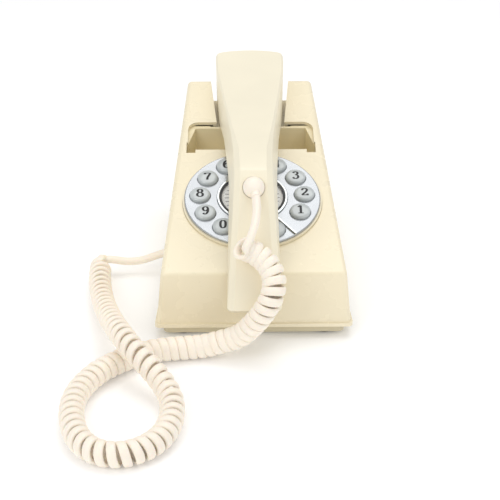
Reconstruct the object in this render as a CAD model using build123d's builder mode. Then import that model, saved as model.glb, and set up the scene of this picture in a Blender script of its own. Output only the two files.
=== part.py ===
"""Corded desk telephone with a wedge body, a round push-button dial and a cranked handset.

Frame: +X right, +Y towards the back, +Z up, origin on the table under the middle of the phone.
All sizes are in millimetres.
"""
from build123d import *
from math import cos, radians, sin, tan
import os

os.makedirs("parts", exist_ok=True)

# ---- driving dimensions of the body -------------------------------------------------------
WALL = 2.4                   # wall of every moulded shell
FIT = 0.15                   # gap between parts that are fixed to each other
FEET_HEIGHT = 2.0
SHELL_BOTTOM = 7.4           # the upper case floats this far above the table
FRONT_Y = -85.0              # bottom front edge of the upper case
FOLD_Y, FOLD_Z = -80.5, 41.4  # edge between the front face and the sloping top
SLOPE_DEG = 17.5
SLOPE_LENGTH = 189.0
REAR_BOTTOM_Y = 100.5
SIDE_AT_ORIGIN = 55.55       # half width of the body at Y = 0, Z = 0
SIDE_PER_Y = 0.0481          # the body narrows this much a side for each mm towards the back
SIDE_PER_Z = 0.0864          # and this much for each mm upwards
EDGE_R = 3.0                 # rounding of the outer edges of the upper case
LIP_OUT, LIP_TALL = 0.9, 2.2  # lip round the bottom of the upper case
PAN_INSET = 4.2              # the base pan stands back from the upper case

SLOPE_SIN, SLOPE_COS = sin(radians(SLOPE_DEG)), cos(radians(SLOPE_DEG))
REAR_TOP_Y = FOLD_Y + SLOPE_LENGTH * SLOPE_COS
REAR_TOP_Z = FOLD_Z + SLOPE_LENGTH * SLOPE_SIN

# ---- driving dimensions of the openings in the sloping top ----------------------------------
RECESS_HALF = 41.5           # finger recess in front of the carrying bar
RECESS_LOW, RECESS_HIGH = 113.6, 141.7   # its edges, measured up the slope from the fold
RECESS_R = 7.0
RECESS_FLOOR_Z = 62.0
RECESS_BACK_Y = 52.2
RECESS_BACK_HALF = 36.6
RECESS_TAPER_Y = 36.0        # behind this the recess narrows
RECESS_CORE_HALF, RECESS_CORE_Y = 26.8, 53.9   # the notch's walls stand behind the recess
POCKET_IN, POCKET_OUT = 36.4, 42.3       # deep slots in the two front corners of the recess
POCKET_LOW, POCKET_HIGH = 110.5, 121.0
NOTCH_FRONT_HALF, NOTCH_REAR_HALF = 22.6, 26.9   # notch that the receiver end lies in
NOTCH_FLOOR_FRONT_Z, NOTCH_FLOOR_REAR_Z = 78.4, 82.0

# ---- driving dimensions of the dial ---------------------------------------------------------
DIAL_S = 63.8                # dial centre, measured up the slope from the fold
BEZEL_R = 43.8
PLATE_R = 42.7
PLATE_TOP, PLATE_THICK = 3.4, 1.6
KEY_RING_R = 32.8
KEY_R = 6.5
KEY_TOP = 5.6
KEY_TRAVEL = 1.6
KEY_FIRST_DEG, KEY_STEP_DEG = -26.0, 29.1
KEY_NAMES = ("1", "2", "3", "4", "5", "6", "7", "8", "9", "0", "star", "hash")
CENTRE_R = 22.4
CARD_R = 19.2

# ---- driving dimensions of the handset ------------------------------------------------------
# Each station is one cross-section: the crown line point (y, z), the underside point (y, z),
# then the half widths of the flat crown, of the shoulder, how far the shoulder drops, and the
# half width of the underside. They run from the receiver end to the mouthpiece.
HANDSET_STATIONS = (
    (113.0, 115.1, 110.0, 87.2, 21.8, 22.9, 1.2, 22.4),
    (95.0, 113.7, 95.0, 85.8, 21.9, 23.1, 1.2, 22.7),
    (75.0, 112.2, 75.0, 84.1, 21.1, 22.3, 1.2, 21.9),
    (56.0, 110.7, 56.0, 82.5, 19.1, 20.3, 1.2, 20.8),
    (30.0, 108.7, 32.0, 85.4, 16.4, 17.6, 1.3, 18.8),
    (15.0, 107.5, 16.0, 87.4, 14.7, 15.9, 1.4, 17.6),
    (-10.0, 105.6, -9.0, 86.4, 11.8, 13.4, 1.8, 16.2),
    (-35.0, 103.7, -33.0, 84.6, 8.4, 11.8, 2.8, 15.0),
    (-58.7, 101.8, -50.4, 83.1, 7.8, 11.3, 3.2, 14.5),
    (-62.6, 100.6, -53.7, 82.4, 7.8, 11.3, 3.2, 14.5),
    (-65.5, 97.8, -55.8, 79.6, 7.9, 11.4, 3.2, 14.5),
    (-79.4, 76.3, -64.3, 66.5, 9.2, 12.8, 3.2, 15.0),
    (-95.8, 51.2, -82.4, 42.5, 11.0, 14.6, 3.2, 15.8),
    (-108.6, 31.6, -95.2, 22.9, 12.2, 16.2, 3.2, 16.2),
)
HANDSET_WALL = 2.2
EAR_END_Y = 110.8            # back of the rounded receiver end
EAR_END_BULGE = 5.0
EAR_CORNER_R = 8.0
HANDSET_LIFT_CLEARANCE = 0.3
EAR_CAP_Y = 83.0
MOUTH_STATION = 12           # the microphone sits under this station
BOSS_Y, BOSS_Z = -69.0, 92.4  # where the cord enters the handset, just below the crank
BOSS_R = 6.2

# ---- driving dimensions of the cord ---------------------------------------------------------
LEAD_R = 2.4
COIL_R = 7.2
LEAD_TOP_ROUTE = (
    (1.0, -76.0, 90.6), (1.6, -81.0, 87.0), (1.0, -87.5, 82.3), (-1.0, -94.0, 77.4),
    (-4.8, -98.4, 71.8),
)
COIL_HANGING_ROUTE = (
    (-8.6, -98.8, 68.4), (-2.0, -97.0, 65.0), (5.0, -99.8, 61.4), (10.6, -106.0, 55.6),
    (11.3, -111.5, 50.0), (9.5, -115.0, 43.5), (5.0, -116.0, 34.7), (-1.3, -114.0, 25.0),
    (-9.0, -110.9, 15.5), (-18.9, -109.3, 11.6),
)
COIL_FLOOR_ROUTE = (
    (-19.3, -109.2, 11.4), (-29.8, -107.5, 7.3), (-41.6, -108.8, 7.2), (-52.9, -110.2, 7.2),
    (-64.5, -113.6, 7.2), (-78.2, -122.8, 7.2), (-88.2, -132.2, 7.2), (-95.8, -144.7, 7.2),
    (-100.6, -158.2, 7.2), (-101.7, -173.6, 7.2), (-99.4, -188.8, 7.2), (-94.7, -202.0, 7.2),
    (-87.0, -211.6, 7.2), (-77.7, -215.6, 7.2), (-68.2, -215.0, 7.2), (-59.4, -210.0, 7.2),
    (-51.8, -201.5, 7.2), (-47.2, -189.6, 7.2), (-45.8, -176.0, 7.3), (-47.4, -163.5, 8.4),
    (-51.9, -153.8, 11.4), (-58.4, -146.6, 16.0), (-65.9, -139.0, 20.6), (-72.4, -130.0, 22.4),
    (-77.0, -120.0, 22.6), (-82.2, -105.0, 20.4), (-87.8, -83.0, 15.4), (-93.2, -58.0, 10.2),
    (-97.0, -34.0, 7.6), (-98.4, -17.0, 7.2), (-98.9, -5.6, 7.2),
)
LEAD_FLOOR_ROUTE = (
    (-98.9, -5.6, 7.2), (-97.6, -1.0, 7.8), (-91.0, -0.2, 5.6), (-82.0, -0.8, 4.4),
    (-73.0, -0.8, 5.6), (-65.5, -0.3, 9.4), (-60.0, 0.0, 13.6),
)

# ---- driving dimensions of the sockets, the ringer switch and the hook switch ---------------
CORD_JACK_Y, CORD_JACK_Z = 0.0, 14.6
JACK_WIDE, JACK_TALL, JACK_DEEP = 11.0, 9.4, 16.0
PLUG_WIDE, PLUG_TALL, PLUG_LONG = 7.6, 6.2, 12.0
LINE_JACK_X, LINE_JACK_Z = 22.0, 18.0
LINE_JACK_WIDE, LINE_JACK_TALL = 15.0, 13.0
RINGER_X, RINGER_Z = -18.0, 18.0
RINGER_SLOT_WIDE, RINGER_SLOT_TALL = 11.0, 4.4
PLUNGER_Y = 60.0
PLUNGER_WIDE, PLUNGER_LONG = 12.0, 6.0
PLUNGER_TRAVEL = 4.0


# ---- planes and helpers ---------------------------------------------------------------------
def slope_plane(along=0.0, height=0.0, x=0.0):
    """Plane on the sloping top, `along` mm up from the fold and `height` mm above it."""
    origin = (
        x,
        FOLD_Y + along * SLOPE_COS - height * SLOPE_SIN,
        FOLD_Z + along * SLOPE_SIN + height * SLOPE_COS,
    )
    return Plane(origin=origin, x_dir=(1, 0, 0), z_dir=(0, -SLOPE_SIN, SLOPE_COS))


def dial_plane(height):
    """Plane parallel to the sloping top, centred on the dial."""
    return slope_plane(DIAL_S, height)


def slope_z(y):
    """Height of the sloping top's surface over a given Y."""
    return FOLD_Z + (y - FOLD_Y) * tan(radians(SLOPE_DEG))


def side_x(y, z):
    """Half width of the upper case's outside at a given Y and Z."""
    return SIDE_AT_ORIGIN - SIDE_PER_Y * y - SIDE_PER_Z * z


def left_wall_plane(y, z, distance):
    """Plane that faces left, `distance` mm out from the middle of the phone."""
    return Plane(origin=(-distance, y, z), x_dir=(0, -1, 0), z_dir=(-1, 0, 0))


def back_wall_plane(x, z, distance):
    """Plane that faces back, `distance` mm behind the middle of the phone."""
    return Plane(origin=(x, distance, z), x_dir=(-1, 0, 0), z_dir=(0, 1, 0))


def tapered_block(inset, low, high, front=-130.0, back=130.0):
    """Solid between the two side walls' planes, pushed inwards by `inset`."""
    with BuildPart() as block:
        for z in (low, high):
            with BuildSketch(Plane.XY.offset(z)):
                front_x = side_x(front, z) - inset
                back_x = side_x(back, z) - inset
                Polygon((-front_x, front), (front_x, front), (back_x, back), (-back_x, back),
                        align=None)
        loft(ruled=True)
    return block.part


def wedge(inset, bottom):
    """The body's wedge, with its front, top, back and sides pushed inwards by `inset`."""
    lean = (FOLD_Y - FRONT_Y) / (FOLD_Z - SHELL_BOTTOM)
    back_lean = (REAR_BOTTOM_Y - REAR_TOP_Y) / (REAR_TOP_Z - SHELL_BOTTOM)
    top_drop = inset / SLOPE_COS
    front_low = FRONT_Y + inset + lean * (bottom - SHELL_BOTTOM)
    fold_z = FOLD_Z + inset * tan(radians(SLOPE_DEG)) - top_drop
    back_low = REAR_BOTTOM_Y - inset - back_lean * (bottom - SHELL_BOTTOM)
    back_top = REAR_TOP_Y - inset
    with BuildPart() as solid:
        with BuildSketch(Plane.YZ):
            Polygon(
                (front_low, bottom),
                (FOLD_Y + inset, fold_z),
                (back_top, slope_z(back_top) - top_drop),
                (back_low, bottom),
                align=None,
            )
        extrude(amount=80, both=True)
        add(tapered_block(inset, bottom - 5, 130), mode=Mode.INTERSECT)
    return solid.part


def notch_prism(grow, floor_drop):
    """Volume of the rear notch, wider by `grow` a side and deeper by `floor_drop`."""
    front_y, rear_y = slope_plane(RECESS_HIGH).origin.Y, REAR_TOP_Y
    taper = (NOTCH_REAR_HALF - NOTCH_FRONT_HALF) / (rear_y - front_y)
    rise = (NOTCH_FLOOR_REAR_Z - NOTCH_FLOOR_FRONT_Z) / (rear_y - front_y)
    y_low, y_high = front_y - 2 * grow, rear_y + 12
    half_low = NOTCH_FRONT_HALF + taper * (y_low - front_y) + grow
    half_high = NOTCH_FRONT_HALF + taper * (y_high - front_y) + grow
    z_low = NOTCH_FLOOR_FRONT_Z + rise * (y_low - front_y) - floor_drop
    z_high = NOTCH_FLOOR_FRONT_Z + rise * (y_high - front_y) - floor_drop
    with BuildPart() as prism:
        with BuildSketch(Plane.XY):
            Polygon((-half_low, y_low), (half_low, y_low), (half_high, y_high),
                    (-half_high, y_high), align=None)
        extrude(amount=160)
        with BuildSketch(Plane.YZ):
            Polygon((y_low, z_low), (y_high, z_high), (y_high, 160), (y_low, 160), align=None)
        extrude(amount=80, both=True, mode=Mode.INTERSECT)
    return prism.part


def finish_piece(part, name):
    """Label one sub-part and write it to its own STEP file."""
    part.label = name
    export_step(part, f"parts/{name}.step")


# ---- upper case -----------------------------------------------------------------------------
SCREW_SPOTS = [(-41.0, -66.0), (41.0, -66.0), (-38.0, 84.0), (38.0, 84.0)]
SCREW_R, SCREW_BORE_R, SCREW_POST_R = 1.45, 1.5, 4.0
POST_BOTTOM = 10.0

# walls round the notch and the four screw posts, trimmed to the outside of the wedge
with BuildPart() as inner_walls:
    add(notch_prism(WALL, WALL))
    with BuildSketch(Plane.XY.offset(POST_BOTTOM)):
        with Locations(*SCREW_SPOTS):
            Circle(SCREW_POST_R)
    extrude(amount=110)
    add(wedge(EDGE_R / 2, SHELL_BOTTOM), mode=Mode.INTERSECT)

# lip round the bottom edge
with BuildPart() as lip_band:
    with BuildSketch(Plane.XY.offset(SHELL_BOTTOM)):
        lip_front, lip_back = FRONT_Y - LIP_OUT, REAR_BOTTOM_Y + LIP_OUT
        front_x = side_x(lip_front, SHELL_BOTTOM) + LIP_OUT
        back_x = side_x(lip_back, SHELL_BOTTOM) + LIP_OUT
        Polygon((-front_x, lip_front), (front_x, lip_front), (back_x, lip_back),
                (-back_x, lip_back), align=None)
    extrude(amount=LIP_TALL)
    fillet(lip_band.edges().filter_by(Axis.Z), radius=EDGE_R)

with BuildPart() as upper_case:
    add(wedge(0, SHELL_BOTTOM))
    outer_edges = upper_case.edges().filter_by(lambda e: e.center().Z > SHELL_BOTTOM + 1)
    fillet(outer_edges, radius=EDGE_R)
    add(lip_band.part)
    add(wedge(WALL, SHELL_BOTTOM - 3), mode=Mode.SUBTRACT)
    add(inner_walls.part)
    add(notch_prism(0, 0), mode=Mode.SUBTRACT)
    # finger recess opening with a small extension over each corner pocket
    with BuildSketch(slope_plane((RECESS_LOW + RECESS_HIGH) / 2, -8)) as recess_outline:
        Rectangle(2 * RECESS_HALF, RECESS_HIGH - RECESS_LOW)
        fillet(recess_outline.vertices().group_by(Axis.Y)[-1], radius=RECESS_R)
        pocket_y = (POCKET_LOW + POCKET_HIGH - RECESS_LOW - RECESS_HIGH) / 2
        pocket_x = (POCKET_IN + POCKET_OUT) / 2
        with Locations((pocket_x, pocket_y), (-pocket_x, pocket_y)):
            Rectangle(POCKET_OUT - POCKET_IN, POCKET_HIGH - POCKET_LOW)
    extrude(amount=30, mode=Mode.SUBTRACT)
    # dial opening
    with BuildSketch(dial_plane(-8)):
        Circle(BEZEL_R + FIT)
    extrude(amount=30, mode=Mode.SUBTRACT)
    # bores for the base screws
    with BuildSketch(Plane.XY.offset(POST_BOTTOM)):
        with Locations(*SCREW_SPOTS):
            Circle(SCREW_BORE_R)
    extrude(amount=16, mode=Mode.SUBTRACT)
    # openings for the cord jack, the line jack, the ringer switch and the hook plunger
    with BuildSketch(left_wall_plane(CORD_JACK_Y, CORD_JACK_Z, 70)):
        Rectangle(JACK_WIDE + 2 * FIT, JACK_TALL + 2 * FIT)
    extrude(amount=-30, mode=Mode.SUBTRACT)
    with BuildSketch(back_wall_plane(LINE_JACK_X, LINE_JACK_Z, 110)):
        Rectangle(LINE_JACK_WIDE + 2 * FIT, LINE_JACK_TALL + 2 * FIT)
    extrude(amount=-25, mode=Mode.SUBTRACT)
    with BuildSketch(back_wall_plane(RINGER_X, RINGER_Z, 110)):
        Rectangle(RINGER_SLOT_WIDE, RINGER_SLOT_TALL)
    extrude(amount=-25, mode=Mode.SUBTRACT)
    with BuildSketch(Plane.XY.offset(60)):
        with Locations((0, PLUNGER_Y)):
            Rectangle(PLUNGER_WIDE + 0.6, PLUNGER_LONG + 0.6)
    extrude(amount=40, mode=Mode.SUBTRACT)
finish_piece(upper_case.part, "upper_case")

# ---- base pan, feet and screws --------------------------------------------------------------
PAN_THICK = 2.4
PAN_RIM_LOW, PAN_RIM_HIGH = 7.8, 9.8
PAN_FRONT_INSET = 3.0
FRONT_REAR = (FRONT_Y + PAN_FRONT_INSET, REAR_BOTTOM_Y - PAN_INSET)

with BuildPart() as pan_hollow:
    add(tapered_block(PAN_INSET + WALL, FEET_HEIGHT + PAN_THICK, PAN_RIM_HIGH + 1))
    with BuildSketch(Plane.XY):
        Polygon((-90, FRONT_REAR[0] + WALL), (90, FRONT_REAR[0] + WALL), (90, FRONT_REAR[1] - WALL),
                (-90, FRONT_REAR[1] - WALL), align=None)
    extrude(amount=60, mode=Mode.INTERSECT)

with BuildPart() as base_pan:
    add(tapered_block(PAN_INSET, FEET_HEIGHT, PAN_RIM_HIGH, *FRONT_REAR))
    fillet(base_pan.edges().filter_by(lambda e: abs(e.bounding_box().size.Z) > 5), radius=4)
    # rim that closes the bottom of the upper case
    with BuildSketch(Plane.XY.offset(PAN_RIM_LOW)):
        rim_front, rim_back = FRONT_Y + WALL + 1.0, REAR_BOTTOM_Y - WALL - 0.6
        front_x = side_x(rim_front, PAN_RIM_HIGH) - WALL - 0.4
        back_x = side_x(rim_back, PAN_RIM_HIGH) - WALL - 0.4
        Polygon((-front_x, rim_front), (front_x, rim_front), (back_x, rim_back),
                (-back_x, rim_back), align=None)
    extrude(amount=PAN_RIM_HIGH - PAN_RIM_LOW)
    add(pan_hollow.part, mode=Mode.SUBTRACT)
    # screw pillars, counterbored from below
    with BuildSketch(Plane.XY.offset(FEET_HEIGHT)):
        with Locations(*SCREW_SPOTS):
            Circle(SCREW_POST_R)
    extrude(amount=PAN_RIM_HIGH - FEET_HEIGHT)
    with Locations(Plane.XY.offset(FEET_HEIGHT)):
        with Locations(*[Location((x, y, 0), (180, 0, 0)) for x, y in SCREW_SPOTS]):
            CounterBoreHole(SCREW_BORE_R, 2.9, 2.2, depth=20)
    # relief behind the cord jack
    with Locations((-side_x(CORD_JACK_Y, 10), CORD_JACK_Y, PAN_RIM_HIGH)):
        Box(18, JACK_WIDE + 1.0, 4.4, mode=Mode.SUBTRACT)
finish_piece(base_pan.part, "base_pan")

FOOT_R = 8.0
FOOT_SPOTS = [(-43.0, -71.5), (43.0, -71.5), (-37.0, 78.0), (37.0, 78.0)]
with BuildPart() as rubber_feet:
    for x, y in FOOT_SPOTS:
        with BuildSketch(Plane.XY):
            with Locations((x, y)):
                Circle(FOOT_R)
        extrude(amount=FEET_HEIGHT)
    fillet(rubber_feet.edges().group_by(Axis.Z)[0], radius=0.6)
finish_piece(rubber_feet.part, "rubber_feet")

with BuildPart() as base_screws:
    for x, y in SCREW_SPOTS:
        with BuildSketch(Plane.XY.offset(FEET_HEIGHT + 0.3)):
            with Locations((x, y)):
                Circle(2.7)
        extrude(amount=1.8)
        with BuildSketch(Plane.XY.offset(FEET_HEIGHT + 2.1)):
            with Locations((x, y)):
                Circle(SCREW_R)
        extrude(amount=21)
finish_piece(base_screws.part, "base_screws")

# ---- finger recess tray ---------------------------------------------------------------------
SKIN_DROP = WALL / SLOPE_COS + FIT
recess_front_y = slope_plane(RECESS_LOW).origin.Y
recess_rear_y = slope_plane(RECESS_HIGH).origin.Y
pocket_front_y = slope_plane(POCKET_LOW).origin.Y
pocket_rear_y = slope_plane(POCKET_HIGH).origin.Y
tray_half = RECESS_HALF + WALL / 2
tray_front, tray_back = recess_front_y - WALL, RECESS_BACK_Y + WALL

with BuildPart() as tray_hollow:
    with BuildSketch(Plane.XY.offset(RECESS_FLOOR_Z)):
        Polygon((-RECESS_HALF, recess_front_y), (RECESS_HALF, recess_front_y),
                (RECESS_HALF, RECESS_TAPER_Y), (RECESS_BACK_HALF, RECESS_BACK_Y),
                (-RECESS_BACK_HALF, RECESS_BACK_Y), (-RECESS_HALF, RECESS_TAPER_Y), align=None)
    extrude(amount=60)

with BuildPart() as finger_recess:
    with BuildSketch(Plane.YZ):
        Polygon(
            (tray_front, RECESS_FLOOR_Z - WALL),
            (tray_back, RECESS_FLOOR_Z - WALL),
            (tray_back, slope_z(tray_back) - SKIN_DROP),
            (tray_front, slope_z(tray_front) - SKIN_DROP),
            align=None,
        )
    extrude(amount=tray_half, both=True)
    add(tray_hollow.part, mode=Mode.SUBTRACT)
    # room for the notch and the hook switch behind the middle of the tray
    with BuildSketch(Plane.XY):
        with Locations((0, RECESS_CORE_Y + 20)):
            Rectangle(2 * RECESS_CORE_HALF, 40)
    extrude(amount=120, mode=Mode.SUBTRACT)
    # open corner pockets
    with BuildSketch(Plane.XY):
        pocket_mid = (pocket_front_y + pocket_rear_y) / 2
        with Locations((pocket_x, pocket_mid), (-pocket_x, pocket_mid)):
            Rectangle(POCKET_OUT - POCKET_IN, pocket_rear_y - pocket_front_y)
    extrude(amount=120, mode=Mode.SUBTRACT)
finish_piece(finger_recess.part, "finger_recess")

# ---- dial -----------------------------------------------------------------------------------
BEZEL_TOP, BEZEL_BOTTOM = 1.8, -9.4
BEZEL_INNER_R = 41.4
WEB_TOP, WEB_BOTTOM = -3.2, -4.8
FLANGE_TOP = -WALL - FIT
FLANGE_R = 45.2
STEM_R = 3.0
BOARD_R = BEZEL_INNER_R - 0.3


def key_spots():
    """Local centres of the twelve keys round the dial."""
    return [
        (KEY_RING_R * cos(radians(KEY_FIRST_DEG + i * KEY_STEP_DEG)),
         KEY_RING_R * sin(radians(KEY_FIRST_DEG + i * KEY_STEP_DEG)))
        for i in range(len(KEY_NAMES))
    ]


with BuildPart() as dial_bezel:
    with BuildSketch(dial_plane(BEZEL_BOTTOM)):
        Circle(BEZEL_R)
        Circle(BEZEL_INNER_R, mode=Mode.SUBTRACT)
    extrude(amount=BEZEL_TOP - BEZEL_BOTTOM - FIT)
    with BuildSketch(dial_plane(FLANGE_TOP - 2)):
        Circle(FLANGE_R)
        Circle(BEZEL_INNER_R, mode=Mode.SUBTRACT)
    extrude(amount=2)
    with BuildSketch(dial_plane(WEB_BOTTOM)):
        Circle(BEZEL_INNER_R)
        with Locations(*key_spots()):
            Circle(STEM_R + 0.4, mode=Mode.SUBTRACT)
    extrude(amount=WEB_TOP - WEB_BOTTOM)
    # pillar under the number card
    with BuildSketch(dial_plane(WEB_TOP)):
        Circle(CENTRE_R - 0.6)
    extrude(amount=PLATE_TOP - 1.2 - WEB_TOP)
finish_piece(dial_bezel.part, "dial_bezel")

with BuildPart() as dial_plate:
    with BuildSketch(dial_plane(PLATE_TOP - PLATE_THICK)):
        Circle(PLATE_R)
        Circle(CENTRE_R, mode=Mode.SUBTRACT)
        with Locations(*key_spots()):
            Circle(KEY_R + 0.35, mode=Mode.SUBTRACT)
    extrude(amount=PLATE_THICK)
    rim_edges = dial_plate.edges().filter_by(GeomType.CIRCLE).group_by(lambda e: e.radius)[-1]
    fillet(rim_edges.sort_by(dial_plane(0).location.z_axis)[-1:], radius=0.7)
finish_piece(dial_plate.part, "dial_plate")

stop_start, stop_end, stop_deg = 25.4, 43.0, -52.5
with BuildPart() as finger_stop:
    with BuildSketch(dial_plane(PLATE_TOP + 0.05)):
        stop_mid = (stop_start + stop_end) / 2
        stop_at = (stop_mid * cos(radians(stop_deg)), stop_mid * sin(radians(stop_deg)))
        with Locations(Location((*stop_at, 0), (0, 0, stop_deg))):
            SlotOverall(stop_end - stop_start, 0.8)
    extrude(amount=1.2)
finish_piece(finger_stop.part, "finger_stop")

with BuildPart() as centre_ring:
    with BuildSketch(dial_plane(PLATE_TOP - 1.1)):
        Circle(CENTRE_R - 0.1)
        Circle(CENTRE_R - 1.9, mode=Mode.SUBTRACT)
    extrude(amount=2.0)
    fillet(centre_ring.edges().sort_by(dial_plane(0).location.z_axis)[-2:], radius=0.5)
finish_piece(centre_ring.part, "centre_ring")

with BuildPart() as card_ring:
    with BuildSketch(dial_plane(PLATE_TOP - 1.1)):
        Circle(CENTRE_R - 2.0)
        Circle(CARD_R + 0.05, mode=Mode.SUBTRACT)
    extrude(amount=1.8)
finish_piece(card_ring.part, "card_ring")

with BuildPart() as number_card:
    with BuildSketch(dial_plane(PLATE_TOP - 1.1)):
        Circle(CARD_R)
    extrude(amount=0.4)
finish_piece(number_card.part, "number_card")

with BuildPart() as card_window:
    with BuildSketch(dial_plane(PLATE_TOP - 0.6)):
        Circle(CARD_R)
    extrude(amount=1.2)
finish_piece(card_window.part, "card_window")

# each key is a domed cap with a retaining flange under the plate and a stem down to the mat
KEY_EDGE = KEY_TOP - 1.3
for key_name, (key_x, key_y) in zip(KEY_NAMES, key_spots()):
    with BuildPart() as key:
        with BuildSketch(dial_plane(-0.9)):
            with Locations((key_x, key_y)):
                Circle(KEY_R)
        extrude(amount=KEY_TOP + 0.9)
        top_edge = key.edges().sort_by(dial_plane(0).location.z_axis)[-1]
        fillet(top_edge, radius=1.3)
        with BuildSketch(dial_plane(-0.9)):
            with Locations((key_x, key_y)):
                Circle(KEY_R + 0.9)
        extrude(amount=1.4)
        with BuildSketch(dial_plane(-4.6)):
            with Locations((key_x, key_y)):
                Circle(STEM_R)
        extrude(amount=3.8)
    finish_piece(key.part, f"key_{key_name}")

with BuildPart() as key_mat:
    with BuildSketch(dial_plane(-7.6)):
        Circle(BOARD_R)
    extrude(amount=0.8)
    with BuildSketch(dial_plane(-6.8)):
        with Locations(*key_spots()):
            Circle(STEM_R)
    extrude(amount=0.5)
finish_piece(key_mat.part, "key_mat")

with BuildPart() as keypad_board:
    with BuildSketch(dial_plane(-9.25)):
        Circle(BOARD_R)
    extrude(amount=1.6)
finish_piece(keypad_board.part, "keypad_board")

# ---- parts inside the body ------------------------------------------------------------------
PAN_FLOOR_Z = FEET_HEIGHT + PAN_THICK
BOARD_WIDE, BOARD_LONG, BOARD_THICK = 62.0, 44.0, 1.6
BOARD_Y, BOARD_Z = 52.0, 10.4

with BuildPart() as main_board:
    with BuildSketch(Plane.XY.offset(BOARD_Z)):
        with Locations((0, BOARD_Y)):
            Rectangle(BOARD_WIDE, BOARD_LONG)
    extrude(amount=BOARD_THICK)
    # four spacers stand on the pan
    with BuildSketch(Plane.XY.offset(PAN_FLOOR_Z)):
        with Locations((0, BOARD_Y)):
            with GridLocations(BOARD_WIDE - 8, BOARD_LONG - 8, 2, 2):
                Circle(2.5)
    extrude(amount=BOARD_Z - PAN_FLOOR_Z)
    # the larger components: transformer, capacitor and two chips
    with BuildSketch(Plane.XY.offset(BOARD_Z + BOARD_THICK)):
        with Locations((-18, BOARD_Y + 6)):
            Rectangle(16, 14)
    extrude(amount=11)
    with BuildSketch(Plane.XY.offset(BOARD_Z + BOARD_THICK)):
        with Locations((6, BOARD_Y + 8), (6, BOARD_Y - 8)):
            Rectangle(18, 7.5)
        with Locations((23, BOARD_Y + 5)):
            Circle(4)
    extrude(amount=3.4)
finish_piece(main_board.part, "main_board")

RINGER_CENTRE = (0, -10.0)
with BuildPart() as ringer:
    with BuildSketch(Plane.XY.offset(PAN_FLOOR_Z)):
        with Locations(RINGER_CENTRE):
            Circle(18)
    extrude(amount=4)
    with BuildSketch(Plane.XY.offset(PAN_FLOOR_Z + 4)):
        with Locations(RINGER_CENTRE):
            Circle(10)
    extrude(amount=7)
finish_piece(ringer.part, "ringer")

with BuildPart() as ballast_weight:
    with BuildSketch(Plane.XY.offset(PAN_FLOOR_Z)):
        with Locations((0, -54)):
            Rectangle(66, 34)
    extrude(amount=8)
    chamfer(ballast_weight.edges().group_by(Axis.Z)[-1], length=0.8)
finish_piece(ballast_weight.part, "ballast_weight")

PLUNGER_FLANGE_GAP = 0.3


def plunger_floor_z():
    """Underside of the notch floor where the hook plunger passes through."""
    rise = (NOTCH_FLOOR_REAR_Z - NOTCH_FLOOR_FRONT_Z) / (REAR_TOP_Y - recess_rear_y)
    return NOTCH_FLOOR_FRONT_Z + rise * (PLUNGER_Y - PLUNGER_LONG / 2 - recess_rear_y) - WALL


def handset_underside_z(y):
    """Height of the handset's flat receiver face over a given Y."""
    low, high = HANDSET_STATIONS[3], HANDSET_STATIONS[1]
    return low[3] + (high[3] - low[3]) * (y - low[2]) / (high[2] - low[2])


plunger_top = handset_underside_z(PLUNGER_Y - PLUNGER_LONG / 2) - HANDSET_LIFT_CLEARANCE
plunger_flange_top = plunger_floor_z() - PLUNGER_TRAVEL - PLUNGER_FLANGE_GAP
with BuildPart() as hook_plunger:
    with BuildSketch(Plane.XY.offset(plunger_flange_top - 1.5)):
        with Locations((0, PLUNGER_Y)):
            Rectangle(PLUNGER_WIDE, PLUNGER_LONG)
    extrude(amount=plunger_top - plunger_flange_top + 1.5)
    fillet(hook_plunger.edges().group_by(Axis.Z)[-1], radius=0.8)
    with BuildSketch(Plane.XY.offset(plunger_flange_top - 1.5)):
        with Locations((0, PLUNGER_Y)):
            Rectangle(PLUNGER_WIDE + 4, PLUNGER_LONG + 1.6)
    extrude(amount=1.5)
finish_piece(hook_plunger.part, "hook_plunger")

HOOK_SWITCH_TALL = 10.0
with BuildPart() as hook_switch:
    with BuildSketch(Plane.XY.offset(plunger_flange_top - 1.8 - HOOK_SWITCH_TALL)):
        with Locations((0, PLUNGER_Y)):
            Rectangle(19.8, 6.4)
    extrude(amount=HOOK_SWITCH_TALL)
finish_piece(hook_switch.part, "hook_switch")

# ---- sockets and the ringer switch ----------------------------------------------------------
jack_face_x = side_x(CORD_JACK_Y, CORD_JACK_Z) - 0.6
with BuildPart() as cord_jack:
    with BuildSketch(left_wall_plane(CORD_JACK_Y, CORD_JACK_Z, jack_face_x)):
        Rectangle(JACK_WIDE, JACK_TALL)
    extrude(amount=-JACK_DEEP)
    with BuildSketch(left_wall_plane(CORD_JACK_Y, CORD_JACK_Z, jack_face_x)):
        Rectangle(PLUG_WIDE + 0.4, PLUG_TALL + 0.4)
    extrude(amount=-(PLUG_LONG - 1.0), mode=Mode.SUBTRACT)
finish_piece(cord_jack.part, "cord_jack")

line_jack_face_y = 99.0
with BuildPart() as line_jack:
    with BuildSketch(back_wall_plane(LINE_JACK_X, LINE_JACK_Z, line_jack_face_y)):
        Rectangle(LINE_JACK_WIDE, LINE_JACK_TALL)
    extrude(amount=-15)
    with BuildSketch(back_wall_plane(LINE_JACK_X, LINE_JACK_Z, line_jack_face_y)):
        Rectangle(9.8, 6.8)
    extrude(amount=-11, mode=Mode.SUBTRACT)
finish_piece(line_jack.part, "line_jack")

RINGER_TRAVEL = 3.0
RINGER_FACE_Y = 96.8
RINGER_KNOB_WIDE, RINGER_KNOB_TALL = 4.0, 3.6
with BuildPart() as ringer_switch:
    with BuildSketch(back_wall_plane(RINGER_X, RINGER_Z, RINGER_FACE_Y)):
        Rectangle(19, 8)
    extrude(amount=-7)
    with BuildSketch(back_wall_plane(RINGER_X, RINGER_Z, RINGER_FACE_Y)):
        Rectangle(RINGER_SLOT_WIDE - 2, RINGER_SLOT_TALL)
    extrude(amount=-2, mode=Mode.SUBTRACT)
finish_piece(ringer_switch.part, "ringer_switch")

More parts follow.
